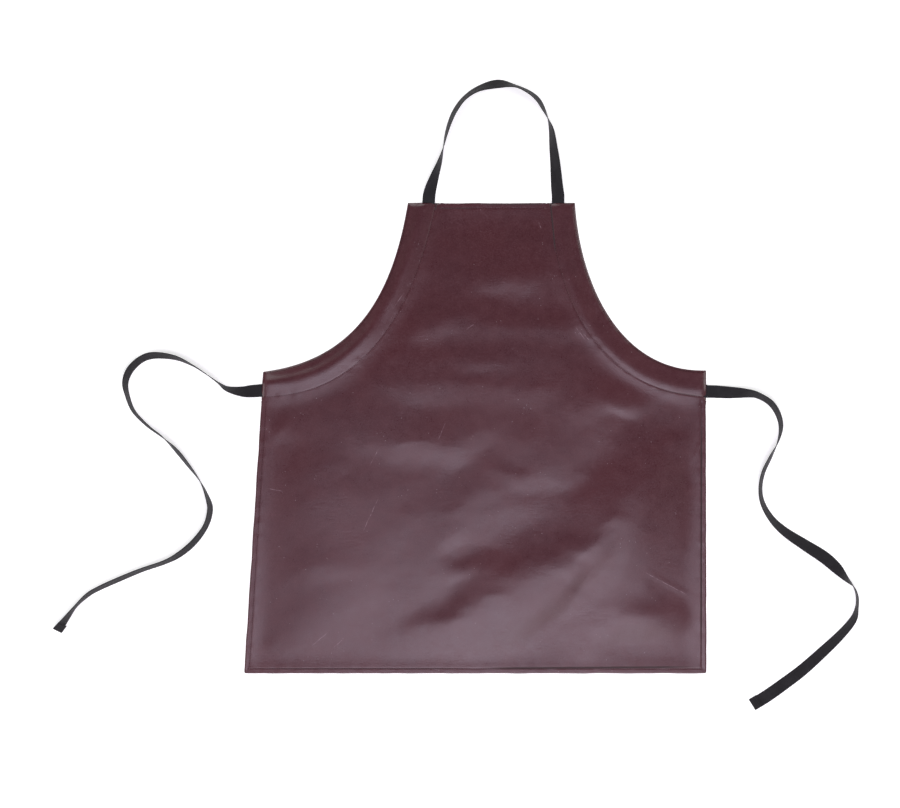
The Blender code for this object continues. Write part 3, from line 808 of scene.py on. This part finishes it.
def undulation(gx, gy):
    """Heights of the gentle waves: the surface whose slopes come nearest to the leans asked for."""
    wanted = np.zeros_like(gx)
    draw = np.random.default_rng(5)
    stray = []
    for _ in range(2):
        field = np.zeros_like(gx)
        for size, far in STRAY:
            layer = blur(draw.standard_normal(gx.shape), size / 2.5)
            field += far * layer / layer.std()
        stray.append(field)
    gx, gy = gx + stray[0], gy + stray[1]
    for x, y, half_long, half_wide, angle, lean in LEANS:
        a = math.radians(angle)
        right, ahead = gx - x * MM, gy - y * MM
        u = right * math.cos(a) + ahead * math.sin(a)
        v = ahead * math.cos(a) - right * math.sin(a)
        slope = math.tan(math.radians(lean * LEAN_GAIN))
        reach = (u / (half_long * MM)) ** 2 + (v / (half_wide * MM)) ** 2
        wanted += slope * np.exp(-0.42 * reach ** 1.3)
    rough = draw.standard_normal(gx.shape)
    for size, lean in ROUGHNESS:
        layer = blur(rough, size / 2.5)
        wanted += math.tan(math.radians(lean)) * layer / layer.std()
    kx = 2j * math.pi * np.fft.fftfreq(gx.shape[1], STEP)[None, :]
    ky = 2j * math.pi * np.fft.fftfreq(gx.shape[0], STEP)[:, None]
    ahead = kx * LEAN_TOWARDS[0] + ky * LEAN_TOWARDS[1]
    size = -(kx * kx + ky * ky).real
    return np.fft.ifft2(np.conj(ahead) * np.fft.fft2(wanted) / (size + (1 / LEAN_REACH) ** 2)).real


def crease_heights(gx, gy):
    """Narrow raised lines that fade out at their ends."""
    total = np.zeros_like(gx)
    for path, half, high in CREASES:
        line = resample(path, 1.0 * MM)
        share = np.linspace(0.0, 1.0, len(line))
        fade = np.sin(math.pi * np.clip(share, 0.04, 0.96)) ** 0.6
        near = np.full(gx.shape, 1e9)
        strength = np.zeros_like(gx)
        for (x, y), f in zip(line, fade):
            d = (gx - x) ** 2 + (gy - y) ** 2
            closer = d < near
            near = np.where(closer, d, near)
            strength = np.where(closer, f, strength)
        total += high * strength * np.exp(-0.5 * near / half ** 2)
    return total


def smooth_share(value, low, high):
    """0 up to low, 1 from high, smooth between them."""
    share = np.clip((value - low) / (high - low), 0.0, 1.0)
    return share * share * (3.0 - 2.0 * share)


def lay(field, points, values):
    """Raises the grid's cells nearest to the points to the given values; returns the cells."""
    ix = np.clip(np.rint((points[..., 0] - GRID_X[0]) / STEP).astype(int), 0, len(GRID_X) - 1)
    iy = np.clip(np.rint((points[..., 1] - GRID_Y[0]) / STEP).astype(int), 0, len(GRID_Y) - 1)
    np.maximum.at(field, (iy, ix), values)
    return iy, ix


def lay_channels(floor):
    """Raises the floor over each facing and its tape; returns the sewn cells and the tapes' bulges."""
    sewn, bulge = np.zeros(floor.shape, bool), np.zeros(floor.shape)
    t = np.linspace(0.0, 1.0, 700)
    across = np.linspace(0.0, 1.0, 120)[:, None, None]
    for (_, armhole, seam), (rise, fall, high) in zip(SIDES, BULGES):
        outer, inner, out, width = channel_frame(armhole, seam, t)
        line = tape_middle(armhole, seam, t)
        middle = np.linalg.norm(line - inner, axis=1)
        from_seam = width * across[:, :, 0]
        value = np.full(from_seam.shape, HEM_LEVEL)
        value[np.abs(from_seam - middle) < middle - TAPE_CLEARANCE] = CHANNEL_LEVEL
        value[width - from_seam < EDGE_ALLOWANCE] = CHANNEL_LEVEL
        strip = inner + (outer - inner) * across
        sewn[lay(floor, strip, value)] = True
        beyond = inner - out * SEAM_ALLOWANCE * np.linspace(0.0, 1.0, 12)[:, None, None]
        sewn[lay(floor, beyond, np.full(beyond.shape[:2], HEM_LEVEL))] = True
        uneven = 1.0 + 0.22 * ripple(lengths_of(line), 11, 0.160)
        lay(bulge, strip, high * uneven * np.minimum(smooth_share(from_seam, 0.0, rise),
                                                     smooth_share(rise + fall - from_seam, 0.0, fall)))
    return sewn, bulge


def level_grid():
    """Middle height of the sheet on a grid: over hems, facings and tape, then the gentle waves."""
    gx, gy = np.meshgrid(GRID_X, GRID_Y)
    flat = np.stack([gx.ravel(), gy.ravel()], axis=1)
    to_edge = distances(EDGE_TREE, flat).reshape(gx.shape)
    to_hem = distances(tree_of(resample_loop(BOUNDARY[HEMMED])), flat).reshape(gx.shape)
    floor = np.where(to_hem < HEM_WIDTH, HEM_LEVEL, LOW)
    sewn, bulge = lay_channels(floor)
    lifted = blur(spread_high(floor, 4 * MM), 8 * MM)
    level = blur(np.maximum(floor, lifted), 3.0 * MM)
    crown = blur(smooth_share(to_edge, 8 * MM, 115 * MM), 14 * MM)
    free = blur(smooth_share(to_edge, 7 * MM, 42 * MM), 4 * MM)
    calm = blur(np.where(sewn, SEWN_WAVES, 1.0), 5 * MM)
    # the waves, less what they would be along the edge, where the sheet lies on the table
    waves = undulation(gx, gy)
    near_edge = 1.0 - smooth_share(to_edge, 6 * MM, 26 * MM)
    waves -= blur(waves * near_edge, 34 * MM) / (blur(near_edge, 34 * MM) + 0.06)
    lift = crown * CROWN + free * calm * waves
    # deep dips are filled smoothly, since nothing goes through the table
    dips = spread_high(0.5 * MM * free - lift, 30 * MM)
    inland = blur(smooth_share(to_edge, 10 * MM, 100 * MM), 16 * MM)
    lift += blur(np.clip(dips, 0.0, None), 22 * MM) * inland
    lift = SOFTNESS * np.logaddexp(0.0, lift / SOFTNESS) - SOFTNESS * math.log(2.0)
    return level + lift + blur(bulge, 1.6 * MM) + crease_heights(gx, gy)


def resample_loop(points):
    """Denser points along consecutive neighbours, gaps between separate runs left open."""
    ahead = np.roll(points, -1, axis=0)
    near = np.linalg.norm(ahead - points, axis=1) < 6 * MM
    shares = np.arange(0.0, 1.0, 0.25)[:, None, None]
    dense = points[near] + (ahead[near] - points[near]) * shares
    return dense.reshape(-1, 2)


LEVEL = level_grid()


def level_at(points):
    """Middle height of the sheet at 2-D points, with the pull of its stitching."""
    points = np.asarray(points, float)
    fx = np.clip((points[:, 0] - GRID_X[0]) / STEP, 0, len(GRID_X) - 1.001)
    fy = np.clip((points[:, 1] - GRID_Y[0]) / STEP, 0, len(GRID_Y) - 1.001)
    ix, iy = fx.astype(int), fy.astype(int)
    ax, ay = fx - ix, fy - iy
    z = ((LEVEL[iy, ix] * (1 - ax) + LEVEL[iy, ix + 1] * ax) * (1 - ay)
         + (LEVEL[iy + 1, ix] * (1 - ax) + LEVEL[iy + 1, ix + 1] * ax) * ay)
    found = [SEAM_TREE.find((x, y, 0.0)) for x, y in points]
    at_seam = np.array([index for _, index, _ in found])
    to_seam = np.array([distance for _, _, distance in found])
    pucker = np.sin(at_seam * SEAM_STEP * 2 * math.pi / PUCKER_PITCH) * PUCKER
    slow = ripple(at_seam * SEAM_STEP, 3, 0.035) * SEAM_UNEVEN
    z -= PULL[at_seam] * np.exp(-(to_seam / GROOVE) ** 2)
    z += pucker * np.exp(-(to_seam / DRAWN_IN) ** 2) + slow * np.exp(-(to_seam / UNEVEN) ** 2)
    return z


def edge_drop(to_edge, radius, depth):
    """How far a sheet curls down towards its edge."""
    share = np.clip(1.0 - to_edge / radius, 0.0, 1.0)
    return depth * (1.0 - np.sqrt(np.clip(1.0 - share ** 2 * 0.93, 0.0, 1.0)))


def panel_points():
    """Points within the boundary: rows along it and the seams, then an even triangle lattice."""
    edge_rows = np.vstack([BOUNDARY - OUTWARD * inset * MM for inset in RIM_ROWS])
    asked = np.repeat(np.array(RIM_ROWS) * MM, len(BOUNDARY))
    edge_rows = edge_rows[distances(EDGE_TREE, edge_rows) > 0.93 * asked]
    seam_rows = []
    for path in SEAMS.values():
        side = left_of(tangents(path))
        seam_rows += [path + side * off * MM for off in SEAM_ROWS]
    seam_rows = np.vstack(seam_rows)
    kept = distances(EDGE_TREE, seam_rows) > 5.2 * MM
    inside = seam_rows[kept & inside_outline(seam_rows)]
    taken = thin_out(np.vstack([edge_rows, inside]), 0.55 * MM)
    tree = tree_of(np.vstack([taken, BOUNDARY]))
    lattice = []
    rise = SPACING * math.sqrt(3) / 2
    half = 0.36
    for j, y in enumerate(np.arange(HEM_BOTTOM, BIB_TOP, rise)):
        for x in np.arange(-half + (j % 2) * SPACING / 2, half, SPACING):
            if tree.find((x, y, 0.0))[2] > 0.68 * SPACING:
                lattice.append((x, y))
    lattice = np.array(lattice)
    lattice = lattice[inside_outline(lattice)]
    return np.vstack([taken, lattice])


def thin_out(points, reach):
    """Drops points closer than reach to an earlier one."""
    tree = tree_of(points)
    dropped = np.zeros(len(points), bool)
    for i, (x, y) in enumerate(points):
        if dropped[i]:
            continue
        for _, j, _ in tree.find_range((x, y, 0.0), reach):
            if j > i:
                dropped[j] = True
    return points[~dropped]


def inside_outline(points):
    """True for the points inside the panel's boundary."""
    x, y = points[:, 0], points[:, 1]
    count = np.zeros(len(points), int)
    for (x0, y0), (x1, y1) in zip(BOUNDARY, np.roll(BOUNDARY, -1, axis=0)):
        if y0 == y1:
            continue
        hit = (y0 > y) != (y1 > y)
        count += hit & (x < x0 + (y - y0) * (x1 - x0) / (y1 - y0))
    return count % 2 == 1


def hem_runs():
    """Index runs of the hemmed boundary points."""
    runs, current = [], []
    for i, hem in enumerate(HEMMED):
        if hem:
            current.append(i)
        elif current:
            runs.append(current + [i])
            current = []
    return runs


def roll_hem(bm, run, rim, z):
    """Rolls one hemmed stretch under: half a turn from the rim, then flat to the hem's width."""
    along = lengths_of(BOUNDARY[run])
    corners = [along[k] for k in corner_places(BOUNDARY[run])]
    rows = [rim]
    for angle in FOLD_ANGLES:
        row = []
        for i in run:
            x, y = BOUNDARY[i] + OUTWARD[i] * FOLD * math.sin(angle)
            middle = 0.5 * (z[i] + LOW)
            row.append(bm.verts.new((x, y, middle + (z[i] - middle) * math.cos(angle))))
        rows.append(row)
    for step in range(1, HEM_STEPS + 1):
        row = []
        for k, i in enumerate(run):
            room = min([abs(along[k] - c) for c in corners] + [1.0])
            depth = min(HEM_WIDTH - FOLD_INSET, 0.6 * MM + room) * step / HEM_STEPS
            x, y = BOUNDARY[i] - OUTWARD[i] * depth
            row.append(bm.verts.new((x, y, LOW)))
        rows.append(row)
    for first, second in zip(rows, rows[1:]):
        join_rows(bm, first, second)


def apron_panel():
    """One sheet with its hems rolled under, thickened to a coated face, a napped back and cut edges."""
    count = len(BOUNDARY)
    plan = np.vstack([BOUNDARY, panel_points()])
    rim = [(i, (i + 1) % count) for i in range(count)]
    verts, _, faces, _, _, _ = delaunay_2d_cdt([Vector(p) for p in plan], rim, [], 1, 1e-7, False)
    plan = np.array([tuple(v) for v in verts])
    middles = plan[np.array(faces)].mean(axis=1)
    faces = [face for face, kept in zip(faces, inside_outline(middles)) if kept]
    z = level_at(plan)
    to_edge = distances(EDGE_TREE, plan)
    rolled = distances(tree_of(resample_loop(BOUNDARY[HEMMED])), plan)
    free_edge = np.clip((rolled - 1.0 * MM) / (6.0 * MM), 0.0, 1.0)
    z -= edge_drop(to_edge, *FREE_CURL) * free_edge
    z -= edge_drop(to_edge, *HEM_CURL) * (1.0 - free_edge)
    bm = bmesh.new()
    made = [bm.verts.new((x, y, h)) for (x, y), h in zip(plan, z)]
    for face in faces:
        bm.faces.new([made[i] for i in face])
    for run in hem_runs():
        roll_hem(bm, run, [made[i] for i in run], z)
    return thicken(new_piece("apron_panel", bm, [FRONT, BACK, CUT], "apron"), SHEET)


def corner_places(points):
    """Middles of the sharply turning stretches of a run."""
    t = tangents(points)
    turn = np.abs(t[2:, 0] * t[:-2, 1] - t[2:, 1] * t[:-2, 0])
    peak = (turn[1:-1] > 0.45) & (turn[1:-1] >= turn[:-2]) & (turn[1:-1] > turn[2:])
    return np.flatnonzero(peak) + 2


def join_rows(bm, first, second):
    for a, b, c, d in zip(first, first[1:], second[1:], second):
        bm.faces.new((b, a, d, c))


def thicken(obj, thickness):
    """Gives a sheet its thickness either side of its middle, applied to the mesh."""
    solid = obj.modifiers.new("thickness", "SOLIDIFY")
    solid.thickness = thickness
    solid.offset = 0.0
    solid.use_even_offset = False
    solid.material_offset = 1
    solid.material_offset_rim = 2
    applied = bpy.data.meshes.new_from_object(obj.evaluated_get(bpy.context.evaluated_depsgraph_get()))
    obj.modifiers.clear()
    obj.data = applied
    applied.name = obj.name
    return obj


# ---- facings and the tape in the channels ----
FACING_INSET = 2.2 * MM


def facing(side, armhole, seam):
    """Shaped strip behind an armhole, its outer allowance turned up and its ends cut."""
    t = np.linspace(0.0, 1.0, 170)
    outer, inner, out, width = channel_frame(armhole, seam, t)
    bm = bmesh.new()
    rows = []
    for (x, y), (out_x, out_y), wide in zip(inner, out, width):
        end = wide - FACING_INSET
        section = [(run, LOW) for run in np.linspace(-SEAM_ALLOWANCE, end, 14)]
        section += [(end + FOLD * math.sin(a), LOW + FOLD * (1 - math.cos(a))) for a in FOLD_ANGLES]
        section += [(run, LOW + 2 * FOLD) for run in np.linspace(end, wide - EDGE_ALLOWANCE, 6)[1:]]
        rows.append([bm.verts.new((x + out_x * run, y + out_y * run, h)) for run, h in section])
    for first, second in zip(rows, rows[1:]):
        join_rows(bm, first, second)
    bmesh.ops.recalc_face_normals(bm, faces=bm.faces)
    lowest = min(bm.faces, key=lambda f: f.calc_center_median().z)
    if lowest.normal.z > 0:
        bmesh.ops.reverse_faces(bm, faces=bm.faces)
    name = side + "_facing_sheet"
    obj = thicken(new_piece(name, bm, [FACING_FRONT, BACK, CUT], "apron"), SHEET)
    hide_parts(side + "_armhole_facing")


def channel_run(side, armhole, seam, seed):
    """Tape between the two stretches that belong to the free tapes."""
    line = tape_middle(armhole, seam, np.linspace(0.0, 1.0, 500))
    at = np.linspace(INSIDE + GAP, lengths_of(line)[-1] - INSIDE - GAP, 120)
    path = points_at(line, at)
    frames = []
    for (x, y), (dx, dy), length in zip(path, tangents(path), at):
        frames.append((Vector((x, y, TAPE_LOW + 0.5 * TAPE_THICK + AIR)), Vector((-dy, dx, 0.0)),
                       Vector((0.0, 0.0, 1.0)), length))
    obj = tape_piece(side + "_channel_run", frames, "apron", seed)
    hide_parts(side + "_channel_tape")


# ---- stitches ----
STITCH = 2.9 * MM
STITCH_GAP = 0.7 * MM
THREAD_RADIUS = 0.24 * MM
UNDER_LEVEL = LOW - 0.5 * SHEET
TACK = 2.4 * MM
TACK_PITCH = 3.0 * MM


def stitch_body(bm, points, radius):
    """One short bar of thread through the given points, tapered where it enters the sheet."""
    along = (points[-1] - points[0]).normalized()
    side = along.orthogonal().normalized()
    other = along.cross(side)
    rings = []
    last = len(points) - 1
    for k, p in enumerate(points):
        r = radius * (0.55 if k in (0, last) else 1.0)
        rings.append([p + side * r * math.cos(a) + other * r * math.sin(a)
                      for a in (2 * math.pi * i / 6 for i in range(6))])
    skin(bm, rings)


def thread_piece(node, bm, material, body):
    bmesh.ops.recalc_face_normals(bm, faces=bm.faces)
    obj = new_piece(node.replace("stitching", "stitches"), bm, [material], body)
    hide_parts(node)


def stitches(node, path, draw):
    """Stitches along a sewn line on the front, and between them on the back."""
    whole = lengths_of(path)[-1]
    bm = bmesh.new()
    pitch = STITCH + STITCH_GAP
    count = int(whole // pitch)
    starts = np.arange(count) * pitch + 0.5 * (whole - count * pitch + STITCH_GAP)
    for shift in (0.0, 0.5 * pitch):
        for start in starts[:-1] if shift else starts:
            at = start + shift + STITCH * np.array((0.0, 0.16, 0.5, 0.84, 1.0))
            x, y = points_at(path, at).T
            spin = (at - at.mean()) * draw.gauss(0.0, 0.025)
            dx, dy = x[-1] - x[0], y[-1] - y[0]
            scale = math.hypot(dx, dy)
            x, y = x - dy / scale * spin, y + dx / scale * spin
            if shift:
                z = UNDER_LEVEL + np.array((0.35, 0.14, 0.10, 0.14, 0.35)) * MM
            else:
                z = level_at(np.stack([x, y], axis=1)) + 0.5 * SHEET
                z += np.array((-0.30, 0.02, 0.12, 0.02, -0.30)) * MM
            stitch_body(bm, [Vector(p) for p in zip(x, y, z)], THREAD_RADIUS)
    thread_piece(node, bm, SEAM_THREAD, "apron")


def tie_tack(node, frames, body, draw):
    """Two rows of short stitches across a folded tie end, through all of its layers."""
    tip, wide, face, _ = frames[-1]
    along = (tip - frames[-2][0]).normalized()
    up = face if face.z > 0.0 else -face
    bm = bmesh.new()
    for row in (TIE_END_LINE, TIE_END_LINE + 3.0 * MM):
        base = tip - along * row + up * (0.5 * TAPE_THICK + 2 * FOLD_RADIUS)
        for k in range(5):
            left = k * TACK_PITCH - 7.2 * MM
            points = []
            for share, rise in ((0.0, -0.25), (0.2, 0.05), (0.5, 0.14), (0.8, 0.05), (1.0, -0.25)):
                shake = along * draw.gauss(0, 0.08 * MM)
                points.append(base + wide * (left + share * TACK) + up * rise * MM + shake)
            stitch_body(bm, points, THREAD_RADIUS)
    thread_piece(node, bm, TAPE_THREAD, body)


panel = apron_panel()
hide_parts("front_panel")
for side, armhole, seam in SIDES:
    facing(side, armhole, seam)
for seed, (side, armhole, seam) in enumerate(SIDES, 4):
    channel_run(side, armhole, seam, seed)

sewing = random.Random(21)
for node, path in SEAMS.items():
    stitches(node, path, sewing)
for side, frames in (("left", left_frames), ("right", right_frames)):
    tie_tack(side + "_tie_end_stitching", frames, side + "_tie", sewing)


# ---- floor and light ----
def plain_stage():
    mesh = bpy.data.meshes.new("floor")
    half = 9.0
    corners = [(-half, -half, 0), (half, -half, 0), (half, half, 0), (-half, half, 0)]
    mesh.from_pydata(corners, [], [(0, 1, 2, 3)])
    mesh.materials.append(plain_floor())
    add_object("floor", mesh)


PANEL_MIDDLE = Vector((0.0, -0.08, 0.0))


def softbox(name, tilt, bearing, distance, size, radiance, colour=(1.0, 1.0, 1.0)):
    """A square soft light aimed at the panel: tilt from straight above, bearing from +X, in degrees."""
    tilt, bearing = math.radians(tilt), math.radians(bearing)
    data = bpy.data.lights.new(name, "AREA")
    data.shape = "SQUARE"
    data.size = size
    data.energy = radiance * math.pi * size * size
    data.color = colour
    lamp = add_object(name, data)
    level = math.sin(tilt)
    towards = Vector((level * math.cos(bearing), level * math.sin(bearing), math.cos(tilt)))
    lamp.location = PANEL_MIDDLE + towards * distance
    lamp.rotation_mode = "QUATERNION"
    lamp.rotation_quaternion = towards.to_track_quat("Z", "Y")
    lamp.visible_camera = False


plain_stage()
softbox("window", tilt=21.5, bearing=-84, distance=2.35, size=1.1, radiance=5.8, colour=(0.95, 0.86, 1.03))
for k in range(4):
    softbox("fill_%d" % k, tilt=52, bearing=15 + 90 * k, distance=2.6, size=1.3, radiance=4.2)

world = bpy.data.worlds.new("studio")
world.use_nodes = True
background = world.node_tree.nodes["Background"]
background.inputs["Color"].default_value = (1.0, 1.0, 1.0, 1.0)
background.inputs["Strength"].default_value = 0.16
bpy.context.scene.world = world
bpy.context.scene.view_settings.view_transform = "Standard"
